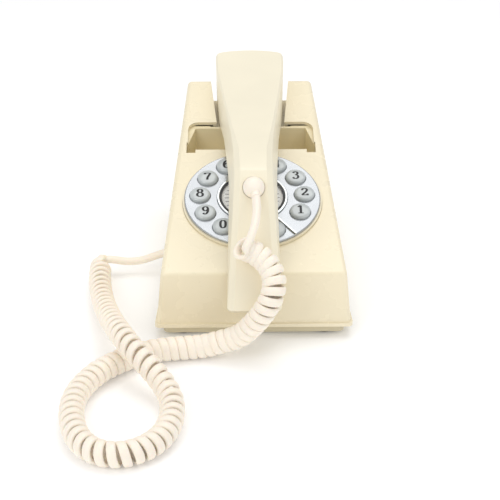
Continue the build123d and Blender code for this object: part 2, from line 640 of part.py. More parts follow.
knob_start_x = RINGER_X + RINGER_TRAVEL / 2
with BuildPart() as ringer_knob:
    with BuildSketch(back_wall_plane(knob_start_x, RINGER_Z, RINGER_FACE_Y - 1.5)):
        Rectangle(RINGER_KNOB_WIDE, RINGER_KNOB_TALL)
    extrude(amount=5.6)
    fillet(ringer_knob.faces().sort_by(Axis.Y)[-1].edges(), radius=0.5)
finish_piece(ringer_knob.part, "ringer_knob")

# ---- handset --------------------------------------------------------------------------------
def station_plane(station, depth=0.0):
    """Cross-section plane of one handset station, `depth` mm below the crown line."""
    crown_y, crown_z, under_y, under_z = station[:4]
    height = ((under_y - crown_y) ** 2 + (under_z - crown_z) ** 2) ** 0.5
    down_y, down_z = (under_y - crown_y) / height, (under_z - crown_z) / height
    origin = (0, crown_y + down_y * depth, crown_z + down_z * depth)
    return Plane(origin=origin, x_dir=(1, 0, 0), z_dir=(0, down_z, -down_y)), height


def handset_loft(stations, inset, top_depth, bottom_depth):
    """Ruled loft of six-sided sections, narrower by `inset` a side.

    The sections reach from `top_depth` under the crown line to `bottom_depth` under the
    underside line.
    """
    with BuildPart() as body:
        for station in stations:
            flat, shoulder, drop, under = station[4:]
            plane, height = station_plane(station)
            low = -height - bottom_depth
            slant = (under - shoulder) / (height - drop)
            low_half = under + slant * bottom_depth - inset
            with BuildSketch(plane):
                Polygon(
                    (-flat + 0.6 * inset, -top_depth), (flat - 0.6 * inset, -top_depth),
                    (shoulder - inset, -drop - 0.5 * top_depth), (low_half, low),
                    (-low_half, low), (-shoulder + inset, -drop - 0.5 * top_depth),
                    align=None,
                )
        loft(ruled=True)
    return body.part


def shift_station(station, along):
    """Copy of a station, moved `along` mm in the direction of its plane's normal."""
    normal = station_plane(station)[0].z_dir
    moved = (station[0] + normal.Y * along, station[1] + normal.Z * along)
    return moved + (station[2] + normal.Y * along, station[3] + normal.Z * along) + station[4:]


def ear_prism(inset):
    """Upright prism whose back is rounded like the receiver end, pulled in by `inset`."""
    half = HANDSET_STATIONS[0][5] + 0.6 - inset
    end = EAR_END_Y - inset
    corner = end - EAR_END_BULGE
    with BuildPart() as prism:
        with BuildSketch(Plane.XY) as outline:
            with BuildLine():
                Polyline((-half, corner), (-half, -150), (half, -150), (half, corner))
                ThreePointArc((half, corner), (0, end), (-half, corner))
            make_face()
            fillet(outline.vertices().group_by(Axis.Y)[-1], radius=EAR_CORNER_R - inset)
        extrude(amount=150)
    return prism.part


cavity_stations = (shift_station(HANDSET_STATIONS[0], -7),) + HANDSET_STATIONS[1:-1]
cavity_stations += (shift_station(HANDSET_STATIONS[-1], -HANDSET_WALL),)
MOUTH_CORNER_R = 3.4
mouth_end = HANDSET_STATIONS[-1]
mouth_end_plane = station_plane(mouth_end)[0]
mouth_end_axis = Plane(origin=mouth_end_plane.origin, x_dir=(1, 0, 0), z_dir=mouth_end_plane.y_dir)


def mouth_corner(side):
    """What rounding one corner of the mouthpiece's end takes away."""
    with BuildPart() as corner:
        with BuildSketch(mouth_end_axis.offset(10)):
            with Locations((side * mouth_end[7], 0)):
                Rectangle(2 * MOUTH_CORNER_R, 2 * MOUTH_CORNER_R)
            with Locations((side * (mouth_end[7] - MOUTH_CORNER_R), MOUTH_CORNER_R)):
                Circle(MOUTH_CORNER_R, mode=Mode.SUBTRACT)
            with Locations((side * mouth_end[7], 2 * MOUTH_CORNER_R)):
                Rectangle(3 * MOUTH_CORNER_R, 2 * MOUTH_CORNER_R, mode=Mode.SUBTRACT)
            with Locations((side * (mouth_end[7] - 2 * MOUTH_CORNER_R), 0)):
                Rectangle(2 * MOUTH_CORNER_R, 3 * MOUTH_CORNER_R, mode=Mode.SUBTRACT)
        extrude(amount=-40)
    return corner.part


boss_axis = Plane(origin=(0, BOSS_Y, BOSS_Z), z_dir=(0, -0.8387, 0.5446))

with BuildPart() as handset_cavity:
    add(handset_loft(cavity_stations, HANDSET_WALL, HANDSET_WALL, 2))
    add(ear_prism(HANDSET_WALL), mode=Mode.INTERSECT)

with BuildPart() as handset_shell:
    add(handset_loft(HANDSET_STATIONS, 0, 0, 0))
    add(ear_prism(0), mode=Mode.INTERSECT)
    add(mouth_corner(1), mode=Mode.SUBTRACT)
    add(mouth_corner(-1), mode=Mode.SUBTRACT)
    add(handset_cavity.part, mode=Mode.SUBTRACT)
    # hole for the cord's strain relief
    with BuildSketch(boss_axis.offset(-6)):
        Circle(BOSS_R + 0.45)
    extrude(amount=14, mode=Mode.SUBTRACT)
finish_piece(handset_shell.part, "handset_shell")

# the underside cover closes the shell; its plane stations are the cavity's
COVER_GAP = 0.12
with BuildPart() as cover_blank:
    for station in cavity_stations:
        plane, height = station_plane(station)
        half = station[7] - HANDSET_WALL - COVER_GAP
        with BuildSketch(plane):
            Polygon((-half, -height + HANDSET_WALL), (half, -height + HANDSET_WALL),
                    (half, -height), (-half, -height), align=None)
    loft(ruled=True)

ear_rear, ear_front = HANDSET_STATIONS[1], HANDSET_STATIONS[3]
ear_tilt = (ear_rear[3] - ear_front[3]) / (ear_rear[2] - ear_front[2])
ear_plane = Plane(
    origin=(0, EAR_CAP_Y, handset_underside_z(EAR_CAP_Y)), x_dir=(1, 0, 0), z_dir=(0, ear_tilt, -1)
)
EAR_CAP_R, EAR_CAP_TALL = 16.0, 3.3
mouth_station = HANDSET_STATIONS[MOUTH_STATION]
mouth_section = station_plane(mouth_station)[0]
mouth_out = mouth_section.y_dir * -1
mouth_plane = Plane(origin=(0, mouth_station[2], mouth_station[3]), x_dir=(1, 0, 0), z_dir=mouth_out)
HANDSET_SCREW_STATIONS = (4, 11)
HANDSET_SCREW_R, HANDSET_HEAD_R = 1.1, 2.3


def section_axis(station, depth):
    """Plane that looks from the crown towards the underside, `depth` mm below the crown."""
    section = station_plane(station)[0]
    down = section.y_dir * -1
    return Plane(origin=section.origin + down * depth, x_dir=(1, 0, 0), z_dir=down)


with BuildPart() as handset_cover:
    add(cover_blank.part)
    add(ear_prism(HANDSET_WALL + COVER_GAP), mode=Mode.INTERSECT)
    add(handset_shell.part, mode=Mode.SUBTRACT)
    # sound holes under the ear cap and the mouth slots
    with BuildSketch(ear_plane.offset(-6)):
        with PolarLocations(9, 8):
            Circle(1.6)
        Circle(2.5)
    extrude(amount=8, mode=Mode.SUBTRACT)
    with BuildSketch(mouth_plane.offset(-6)):
        with GridLocations(4.2, 1, 5, 1):
            SlotOverall(8, 1.4, rotation=90)
    extrude(amount=8, mode=Mode.SUBTRACT)
    for index in HANDSET_SCREW_STATIONS:
        station = HANDSET_STATIONS[index]
        height = station_plane(station)[1]
        with BuildSketch(section_axis(station, height - 5)):
            Circle(HANDSET_SCREW_R + 0.2)
        extrude(amount=8, mode=Mode.SUBTRACT)
        with BuildSketch(section_axis(station, height - 1.3)):
            Circle(HANDSET_HEAD_R + 0.2)
        extrude(amount=4, mode=Mode.SUBTRACT)
finish_piece(handset_cover.part, "handset_cover")

with BuildPart() as handset_screws:
    for index in HANDSET_SCREW_STATIONS:
        station = HANDSET_STATIONS[index]
        height = station_plane(station)[1]
        with BuildSketch(section_axis(station, height - 1.25)):
            Circle(HANDSET_HEAD_R)
        extrude(amount=1.1)
        with BuildSketch(section_axis(station, height - 11)):
            Circle(HANDSET_SCREW_R)
        extrude(amount=9.8)
finish_piece(handset_screws.part, "handset_screws")

with BuildPart() as ear_cap:
    with BuildSketch(ear_plane.offset(0.25)):
        Circle(EAR_CAP_R)
    extrude(amount=EAR_CAP_TALL)
    fillet(ear_cap.edges().sort_by(Axis.Z)[0], radius=1.2)
    with BuildSketch(ear_plane):
        with PolarLocations(9, 8):
            Circle(1.6)
        Circle(2.5)
    extrude(amount=8, mode=Mode.SUBTRACT)
finish_piece(ear_cap.part, "ear_cap")

with BuildPart() as receiver_capsule:
    with BuildSketch(ear_plane.offset(-HANDSET_WALL - 0.6)):
        Circle(15)
    extrude(amount=-4)
    with BuildSketch(ear_plane.offset(-HANDSET_WALL - 4.6)):
        Circle(9)
    extrude(amount=-5)
finish_piece(receiver_capsule.part, "receiver_capsule")

with BuildPart() as microphone:
    with BuildSketch(mouth_plane.offset(-HANDSET_WALL - 0.6)):
        Circle(4.85)
    extrude(amount=-5.5)
finish_piece(microphone.part, "microphone")

grip_front, grip_back = HANDSET_STATIONS[7], HANDSET_STATIONS[5]
with BuildPart() as handset_weight:
    grip_mid = ((grip_front[0] + grip_back[0]) / 2, (grip_front[1] + grip_back[1]) / 2)
    grip_dir = Vector(0, grip_back[0] - grip_front[0], grip_back[1] - grip_front[1]).normalized()
    weight_plane = Plane(origin=(0, grip_mid[0], grip_mid[1] - 6.5), x_dir=(1, 0, 0), z_dir=grip_dir)
    with BuildSketch(weight_plane.offset(-16)):
        Rectangle(11, 7)
    extrude(amount=32)
finish_piece(handset_weight.part, "handset_weight")

# ---- cord -----------------------------------------------------------------------------------
def cord_tube(points, radius, name):
    """Tube along straight runs joined by tangent arcs; prints the arcs' radii."""
    nodes = [Vector(*point) for point in points]
    runs = [after - before for before, after in zip(nodes, nodes[1:])]
    radii = []
    for arriving, leaving in zip(runs, runs[1:]):
        half_turn = radians(arriving.get_angle(leaving)) / 2
        radii.append(0.45 * min(arriving.length, leaving.length) / tan(half_turn))
    with BuildPart() as tube:
        with BuildLine() as route:
            FilletPolyline(*nodes, radius=radii)
        with BuildSketch(Plane(origin=nodes[0], z_dir=runs[0])):
            Circle(radius)
        sweep()
    length = sum(edge.length for edge in route.edges())
    ideal = length * radius * radius * 3.14159
    print(name, "length", round(length), "radii", [round(r) for r in radii],
          "volume", round(tube.part.volume), "ideal", round(ideal))
    return tube.part


finish_piece(cord_tube(COIL_HANGING_ROUTE, COIL_R, "cord_coil_hanging"), "cord_coil_hanging")
finish_piece(cord_tube(COIL_FLOOR_ROUTE, COIL_R, "cord_coil_floor"), "cord_coil_floor")
finish_piece(cord_tube(LEAD_TOP_ROUTE, LEAD_R, "cord_lead_handset"), "cord_lead_handset")
finish_piece(cord_tube(LEAD_FLOOR_ROUTE, LEAD_R, "cord_lead_base"), "cord_lead_base")

first_run = Vector(*LEAD_TOP_ROUTE[1]) - Vector(*LEAD_TOP_ROUTE[0])
with BuildPart() as strain_relief:
    with Locations(boss_axis.offset(0.6)):
        Sphere(BOSS_R)
    with BuildSketch(boss_axis.offset(-9)):
        Circle(4.4)
    extrude(amount=6)
    with BuildSketch(boss_axis.offset(-HANDSET_WALL - 2.3)):
        Circle(BOSS_R + 1.8)
    extrude(amount=1.6)
    with BuildSketch(Plane(origin=LEAD_TOP_ROUTE[0], z_dir=first_run)):
        Circle(LEAD_R + 0.8)
    extrude(amount=-5)
finish_piece(strain_relief.part, "strain_relief")

plug_in_x = jack_face_x - PLUG_LONG + 1.3
with BuildPart() as cord_plug:
    with BuildSketch(left_wall_plane(CORD_JACK_Y, CORD_JACK_Z, plug_in_x)):
        Rectangle(PLUG_WIDE, PLUG_TALL)
    extrude(amount=PLUG_LONG + 2.6)
    fillet(cord_plug.faces().sort_by(Axis.X)[0].edges(), radius=0.6)
finish_piece(cord_plug.part, "cord_plug")
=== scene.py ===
"""Looks of the corded telephone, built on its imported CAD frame. Metres, the frame's own axes."""
from math import atan2, ceil, cos, pi, radians, sin, sqrt

import bmesh
import bpy
from mathutils import Matrix, Vector


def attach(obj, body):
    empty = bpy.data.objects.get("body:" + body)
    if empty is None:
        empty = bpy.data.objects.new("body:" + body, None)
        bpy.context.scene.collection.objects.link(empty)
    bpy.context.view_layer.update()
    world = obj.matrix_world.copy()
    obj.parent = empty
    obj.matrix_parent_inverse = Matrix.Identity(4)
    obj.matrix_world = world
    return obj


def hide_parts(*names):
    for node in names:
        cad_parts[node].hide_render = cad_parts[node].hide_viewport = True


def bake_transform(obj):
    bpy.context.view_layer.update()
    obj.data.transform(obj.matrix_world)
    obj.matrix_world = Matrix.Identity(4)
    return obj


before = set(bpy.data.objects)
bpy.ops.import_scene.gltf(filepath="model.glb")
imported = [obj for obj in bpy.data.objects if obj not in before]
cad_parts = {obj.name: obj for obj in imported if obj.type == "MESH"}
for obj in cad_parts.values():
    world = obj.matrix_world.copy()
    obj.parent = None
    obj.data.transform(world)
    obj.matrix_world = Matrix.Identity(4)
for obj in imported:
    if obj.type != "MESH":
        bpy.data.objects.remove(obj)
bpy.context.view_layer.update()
scene = bpy.context.scene
MM = 0.001


# ---- camera -----------------------------------------------------------------
camera_data = bpy.data.cameras.new("camera")
camera_data.lens = 99.6
camera_data.sensor_width = 36
camera = bpy.data.objects.new("camera", camera_data)
camera.location = (-0.0134, -0.8079, 0.4300)
camera.rotation_euler = (radians(90 - 27.14), 0, radians(-0.869))
scene.collection.objects.link(camera)
scene.camera = camera


# ---- helpers ----------------------------------------------------------------
def link(name, mesh):
    """Object with this mesh, in the scene."""
    piece = bpy.data.objects.new(name, mesh)
    scene.collection.objects.link(piece)
    return piece


def smooth(mesh, angle):
    """Smooth shading, with edges over `angle` degrees kept sharp."""
    for polygon in mesh.polygons:
        polygon.use_smooth = True
    mesh.set_sharp_from_angle(angle=radians(angle))


def tree_of(name):
    """New material with its node tree and its Principled shader."""
    made = bpy.data.materials.new(name)
    made.use_nodes = True
    tree = made.node_tree
    return made, tree, tree.nodes["Principled BSDF"]


def noise(tree, scale, detail=4.0, rough=0.5):
    """Noise over the object's own coordinates."""
    place = tree.nodes.new("ShaderNodeTexCoord")
    made = tree.nodes.new("ShaderNodeTexNoise")
    made.inputs["Scale"].default_value = scale
    made.inputs["Detail"].default_value = detail
    made.inputs["Roughness"].default_value = rough
    tree.links.new(place.outputs["Object"], made.inputs["Vector"])
    return made.outputs["Fac"]


def ramp(tree, source, low, high, start=0.3, end=0.7):
    """Two colours, or two greys, blended by a 0 to 1 value."""
    made = tree.nodes.new("ShaderNodeValToRGB")
    stops = made.color_ramp.elements
    stops[0].position, stops[1].position = start, end
    stops[0].color, stops[1].color = (*low, 1), (*high, 1)
    tree.links.new(source, made.inputs["Fac"])
    return made.outputs["Color"]


def linear(red, green, blue):
    """Linear colour from 0 to 255 sRGB values."""
    def one(value):
        value /= 255
        return value / 12.92 if value <= 0.04045 else ((value + 0.055) / 1.055) ** 2.4
    return one(red), one(green), one(blue)


def plastic(name, colour, rough, spread=0.03, bump=0.02, grain=900, coat=0.0, metallic=0.0, soft=0.0):
    """Moulded plastic, or lacquer: cloudy colour, uneven gloss and a fine surface grain."""
    made, tree, shader = tree_of(name)
    base = linear(*colour)
    low = tuple(c * (1 - spread) for c in base)
    high = tuple(min(1.0, c * (1 + spread)) for c in base)
    tree.links.new(ramp(tree, noise(tree, 14), low, high), shader.inputs["Base Color"])
    gloss = ramp(tree, noise(tree, 55, 6), (rough * 0.85,) * 3, (rough * 1.2,) * 3)
    tree.links.new(gloss, shader.inputs["Roughness"])
    bumps = tree.nodes.new("ShaderNodeBump")
    bumps.inputs["Strength"].default_value = bump
    bumps.inputs["Distance"].default_value = 0.0004
    tree.links.new(noise(tree, grain, 2), bumps.inputs["Height"])
    tree.links.new(bumps.outputs["Normal"], shader.inputs["Normal"])
    shader.inputs["Metallic"].default_value = metallic
    shader.inputs["Coat Weight"].default_value = coat
    shader.inputs["Coat Roughness"].default_value = 0.06
    if soft:
        shader.inputs["Subsurface Weight"].default_value = soft
        shader.inputs["Subsurface Radius"].default_value = (1.0, 0.6, 0.35)
        shader.inputs["Subsurface Scale"].default_value = 0.002
    return made


def clear(name):
    """Clear acrylic window with faint dust, thin enough to let the light straight through."""
    made, tree, shader = tree_of(name)
    shader.inputs["Base Color"].default_value = (1, 1, 1, 1)
    shader.inputs["Alpha"].default_value = 0.12
    shader.inputs["IOR"].default_value = 1.49
    tree.links.new(ramp(tree, noise(tree, 400, 5), (0.01,) * 3, (0.06,) * 3), shader.inputs["Roughness"])
    return made


def paint(node, look):
    """Better material on a CAD node that stays."""
    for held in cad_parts[node].material_slots:
        held.material = look


WELD = 2e-6       # corners this close are one corner
FLAT = 0.05       # faces that meet within this many degrees are one face


def refined(node, name, body, look, bevel, angle=24):
    """CAD node's shape with its crisp edges rounded, as a piece that replaces the node."""
    source = bmesh.new()
    source.from_mesh(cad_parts[node].data)
    bmesh.ops.remove_doubles(source, verts=source.verts, dist=WELD)
    bmesh.ops.dissolve_limit(source, angle_limit=radians(FLAT), verts=source.verts, edges=source.edges)
    source.verts.index_update()
    points = [v.co.copy() for v in source.verts]
    faces = [[v.index for v in f.verts] for f in source.faces]
    source.free()
    mesh = bpy.data.meshes.new(name)
    mesh.from_pydata(points, [], faces)
    mesh.update()
    smooth(mesh, angle)
    mesh.materials.append(look)
    piece = link(name, mesh)
    rounding = piece.modifiers.new("rounding", "BEVEL")
    rounding.width = bevel
    rounding.segments = 3
    rounding.limit_method = "ANGLE"
    rounding.angle_limit = radians(angle)
    rounding.harden_normals = True
    rounding.miter_outer = "MITER_ARC"
    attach(piece, body)
    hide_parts(node)
    return piece


def lathe(name, outline, place, look, steps=48):
    """Turned shape: outline points are (radius, height) in millimetres, placed by a matrix."""
    builder = bmesh.new()
    rings = []
    for radius, height in outline:
        if radius < 1e-6:
            rings.append([builder.verts.new((0, 0, height * MM))])
        else:
            rings.append([
                builder.verts.new((radius * MM * cos(2 * pi * i / steps),
                                   radius * MM * sin(2 * pi * i / steps), height * MM))
                for i in range(steps)
            ])
    for lower, upper in zip(rings, rings[1:]):
        for i in range(steps):
            j = (i + 1) % steps
            corners = [lower[i % len(lower)], lower[j % len(lower)],
                       upper[j % len(upper)], upper[i % len(upper)]]
            unique = list(dict.fromkeys(corners))
            builder.faces.new(unique)
    bmesh.ops.recalc_face_normals(builder, faces=builder.faces)
    mesh = bpy.data.meshes.new(name)
    builder.to_mesh(mesh)
    builder.free()
    mesh.transform(place)
    smooth(mesh, 32)
    mesh.materials.append(look)
    return link(name, mesh)


# ---- materials --------------------------------------------------------------
ivory = plastic("ivory_body", (243, 232, 203), 0.27, coat=0.05)
ivory_handset = plastic("ivory_handset", (247, 239, 215), 0.34, coat=0.05)
# the finger recess is the case's own ivory: this darker, yellower copy is painted shade for the recess
ivory_recess_painted_shade = plastic("ivory_recess_painted_shade", (238, 225, 188), 0.3)
ivory_pan = plastic("ivory_pan", (215, 205, 176), 0.42, bump=0.08, grain=1500)
ivory_cord = plastic("vinyl_cord", (254, 243, 228), 0.4, spread=0.02, bump=0.05, grain=700, soft=0.12)
silver = plastic("silver_lacquer", (184, 187, 190), 0.26, spread=0.03, bump=0.03, grain=2400, metallic=0.8)
key_grey = plastic("key_grey", (196, 202, 203), 0.12, spread=0.03, coat=0.8)
ink = plastic("ink", (18, 18, 20), 0.45, spread=0.1)
black_rubber = plastic("black_rubber", (22, 21, 20), 0.75, spread=0.15, bump=0.2, grain=1200)
black_plastic = plastic("black_plastic", (26, 26, 28), 0.35, spread=0.1)
steel = plastic("plated_steel", (168, 170, 174), 0.32, spread=0.05, metallic=0.95, bump=0.05, grain=1800)
chrome = plastic("chrome", (214, 218, 220), 0.08, spread=0.02, metallic=1.0, bump=0.0)
card_white = plastic("card", (243, 243, 240), 0.6, spread=0.01, bump=0.05, grain=3000)
board_green = plastic("board_green", (30, 92, 50), 0.4, spread=0.15)
silicone = plastic("grey_silicone", (140, 143, 146), 0.55, spread=0.05)
acrylic = clear("acrylic")

for node, look in (
    ("base_pan", ivory_pan), ("rubber_feet", black_rubber), ("base_screws", steel),
    ("dial_plate", silver), ("finger_stop", chrome), ("centre_ring", chrome),
    ("card_ring", black_plastic), ("number_card", card_white), ("card_window", acrylic),
    ("key_mat", silicone), ("keypad_board", board_green), ("main_board", board_green),
    ("ringer", steel), ("ballast_weight", steel), ("hook_plunger", ivory),
    ("hook_switch", black_plastic), ("cord_jack", black_plastic), ("line_jack", black_plastic),
    ("ringer_switch", black_plastic), ("ringer_knob", black_plastic), ("handset_cover", ivory_handset),
    ("handset_screws", steel), ("ear_cap", ivory_handset), ("receiver_capsule", black_plastic),
    ("microphone", black_plastic), ("handset_weight", steel), ("cord_plug", ivory_cord),
    ("dial_bezel", ivory),
):
    paint(node, look)

# ---- shells -----------------------------------------------------------------
refined("upper_case", "case_shell", "base", ivory, 0.7 * MM)
# the recess tray takes the darker ivory copy, painted shade for the recess
refined("finger_recess", "recess_tray", "base", ivory_recess_painted_shade, 0.5 * MM)
refined("handset_shell", "handset_body", "handset", ivory_handset, 0.9 * MM)

# ---- dial -------------------------------------------------------------------
SLOPE = radians(17.5)
FOLD = Vector((0, -80.5, 41.4)) * MM
DIAL_UP_SLOPE = 63.8
DIAL_CENTRE = FOLD + Vector((0, cos(SLOPE), sin(SLOPE))) * DIAL_UP_SLOPE * MM
DIAL = Matrix.Translation(DIAL_CENTRE) @ Matrix.Rotation(SLOPE, 4, "X")
KEY_RING = 32.8
FIRST_KEY_ANGLE, KEY_SPACING = -26.0, 29.1
KEYS = ("1", "2", "3", "4", "5", "6", "7", "8", "9", "0", "star", "hash")
DOME_TOP, DOME_RADIUS = 6.0, 42.0
KEY_OUTLINE = (
    (0, DOME_TOP), (1.5, 5.97), (3.0, 5.89), (4.4, 5.77), (5.3, 5.62), (5.9, 5.35), (6.3, 4.9),
    (6.5, 4.2), (6.5, 0.5), (7.4, 0.5), (7.4, -0.9), (3.0, -0.9), (3.0, -4.6), (0, -4.6),
)


# each sign is a few pen strokes in a box 1 high, wide where the pen moves up or down
SIGNS = {
    "1": (((0.10, 0.80), (0.24, 0.90), (0.36, 1.0)), ((0.36, 0.98), (0.36, 0.02)),
          ((0.12, 0.03), (0.60, 0.03))),
    "2": (((0.14, 0.70), (0.13, 0.84), (0.30, 0.97), (0.50, 0.86), (0.53, 0.68), (0.40, 0.44),
           (0.20, 0.22), (0.09, 0.06)), ((0.08, 0.08), (0.58, 0.08)), ((0.56, 0.04), (0.60, 0.24))),
    "3": (((0.12, 0.78), (0.18, 0.92), (0.32, 0.97), (0.48, 0.84), (0.46, 0.64), (0.28, 0.54)),
          ((0.28, 0.54), (0.50, 0.44), (0.54, 0.22), (0.38, 0.04), (0.18, 0.06), (0.09, 0.22))),
    "4": (((0.42, 0.98), (0.22, 0.62), (0.04, 0.30)), ((0.04, 0.28), (0.62, 0.28)),
          ((0.44, 0.98), (0.44, 0.02)), ((0.28, 0.03), (0.60, 0.03))),
    "5": (((0.14, 0.92), (0.52, 0.92)), ((0.14, 0.95), (0.12, 0.52)),
          ((0.12, 0.54), (0.30, 0.62), (0.50, 0.50), (0.52, 0.24), (0.36, 0.04), (0.16, 0.06),
           (0.08, 0.20))),
    "6": (((0.50, 0.84), (0.42, 0.96), (0.26, 0.94), (0.12, 0.70), (0.09, 0.34), (0.18, 0.08),
           (0.34, 0.03), (0.50, 0.14), (0.53, 0.34), (0.42, 0.54), (0.26, 0.56), (0.12, 0.40)),),
    "7": (((0.06, 0.90), (0.58, 0.90)), ((0.07, 0.94), (0.07, 0.74)),
          ((0.56, 0.88), (0.40, 0.56), (0.30, 0.30), (0.27, 0.02))),
    "8": (((0.32, 0.54), (0.14, 0.66), (0.15, 0.88), (0.32, 0.98), (0.49, 0.88), (0.50, 0.66),
           (0.32, 0.54)), ((0.32, 0.54), (0.10, 0.40), (0.10, 0.14), (0.32, 0.02), (0.54, 0.14),
                           (0.54, 0.40), (0.32, 0.54))),
    "9": (((0.14, 0.16), (0.22, 0.04), (0.38, 0.06), (0.52, 0.30), (0.55, 0.66), (0.46, 0.92),
           (0.30, 0.97), (0.14, 0.86), (0.11, 0.66), (0.22, 0.46), (0.38, 0.44), (0.52, 0.60)),),
    "0": (((0.32, 0.98), (0.14, 0.84), (0.09, 0.50), (0.14, 0.16), (0.32, 0.02), (0.50, 0.16),
           (0.55, 0.50), (0.50, 0.84), (0.32, 0.98)),),
    "star": (((0.32, 0.92), (0.32, 0.34)), ((0.08, 0.78), (0.56, 0.48)), ((0.08, 0.48), (0.56, 0.78))),
    "hash": (((0.22, 0.96), (0.16, 0.04)), ((0.48, 0.96), (0.42, 0.04)), ((0.02, 0.66), (0.62, 0.66)),
             ((0.00, 0.34), (0.60, 0.34))),
}
THIN_PEN, THICK_PEN = 0.085, 0.215
SIGN_HEIGHT = 7.0
SIGN_MID_X, SIGN_MID_Y = 0.32, 0.5         # middle of a sign's box
INK_LIFT, INK_LAYER = 0.07, 0.006          # ink stands clear of the dome, and strokes of each other


def stroke_points(points):
    """Close points along a stroke, which is curved if it has more than two of its own."""
    held = [Vector((x, y, 0)) for x, y in points]
    if len(held) < 3:
        return [held[0].lerp(held[1], i / 8) for i in range(9)]
    closed = (held[0] - held[-1]).length < 1e-6
    ends = [held[-2] if closed else held[0]] + held + [held[1] if closed else held[-1]]
    drawn = []
    for i in range(1, len(ends) - 2):
        before, start, stop, after = ends[i - 1:i + 3]
        for step in range(6):
            t = step / 6
            drawn.append(0.5 * (2 * start + (stop - before) * t
                                + (2 * before - 5 * start + 4 * stop - after) * t * t
                                + (3 * start - before - 3 * stop + after) * t ** 3))
    return drawn + [held[-1]]


def printed(name, sign, height, place, look, dome):
    """One sign as flat ink, laid on a dome of that radius."""
    builder = bmesh.new()
    for layer, points in enumerate(SIGNS[sign]):
        drawn = stroke_points(points)
        edges = []
        for i, point in enumerate(drawn):
            way = (drawn[min(i + 1, len(drawn) - 1)] - drawn[max(i - 1, 0)]).normalized()
            pen = THIN_PEN + (THICK_PEN - THIN_PEN) * abs(way.y) ** 1.5
            across = Vector((-way.y, way.x, 0)) * pen / 2
            pair = []
            for corner in (point - across, point + across):
                x, y = (corner.x - SIGN_MID_X) * height, (corner.y - SIGN_MID_Y) * height
                z = -(x * x + y * y) / (2 * dome) + INK_LIFT + INK_LAYER * layer
                pair.append(builder.verts.new((x * MM, y * MM, z * MM)))
            edges.append(pair)
        for before, after in zip(edges, edges[1:]):
            builder.faces.new((before[0], after[0], after[1], before[1]))
    bmesh.ops.recalc_face_normals(builder, faces=builder.faces)
    for face in builder.faces:
        if face.normal.z < 0:
            face.normal_flip()
    mesh = bpy.data.meshes.new(name)
    builder.to_mesh(mesh)
    builder.free()
    mesh.transform(place)
    mesh.materials.append(look)
    return link(name, mesh)


for index, key in enumerate(KEYS):
    turn = radians(FIRST_KEY_ANGLE + KEY_SPACING * index)
    spot = Vector((KEY_RING * cos(turn), KEY_RING * sin(turn), 0)) * MM
    place = DIAL @ Matrix.Translation(spot)
    cap = lathe(f"cap_{key}", KEY_OUTLINE, place, key_grey)
    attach(cap, f"button_{key}")
    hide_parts(f"key_{key}")
    sign = printed(f"sign_{key}", key, SIGN_HEIGHT, place @ Matrix.Translation((0, 0, DOME_TOP * MM)),
                   ink, DOME_RADIUS)
    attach(sign, f"button_{key}")

# ruled lines printed on the number card
CARD_FACE = 3.4 - 0.7 + 0.03
CARD_PRINT_R = 17.2
RULES, TOP_RULE, RULE_GAP, RULE_HALF = 9, 13.6, 3.4, 0.3
builder = bmesh.new()
for row in range(RULES):
    across = TOP_RULE - RULE_GAP * row
    half = sqrt(CARD_PRINT_R ** 2 - across ** 2)
    low, high = across - RULE_HALF, across + RULE_HALF
    corners = [(-half, low), (half, low), (half, high), (-half, high)]
    builder.faces.new([builder.verts.new((x * MM, y * MM, CARD_FACE * MM)) for x, y in corners])
mesh = bpy.data.meshes.new("card_lines")
builder.to_mesh(mesh)
builder.free()
mesh.transform(DIAL)
mesh.materials.append(ink)
card_lines = link("card_lines", mesh)
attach(card_lines, "base")

# ---- strain relief ----------------------------------------------------------
BALL = Vector((0, -69.5, 92.7))
LEAD_START = Vector((1.0, -76.0, 90.6))
relief_axis = (LEAD_START - BALL).normalized()
relief_place = Matrix.Translation(BALL * MM) @ relief_axis.to_track_quat("Z", "Y").to_matrix().to_4x4()
BALL_R = 6.45
ball_outline = [(BALL_R * sin(radians(a)), -BALL_R * cos(radians(a))) for a in range(0, 151, 6)]
ball_outline += [(2.75, 5.75), (2.6, 6.3), (2.55, 7.4), (2.5, 8.6), (0, 8.6)]
relief = lathe("cord_relief", ball_outline, relief_place, ivory_cord)
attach(relief, "handset")
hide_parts("strain_relief")

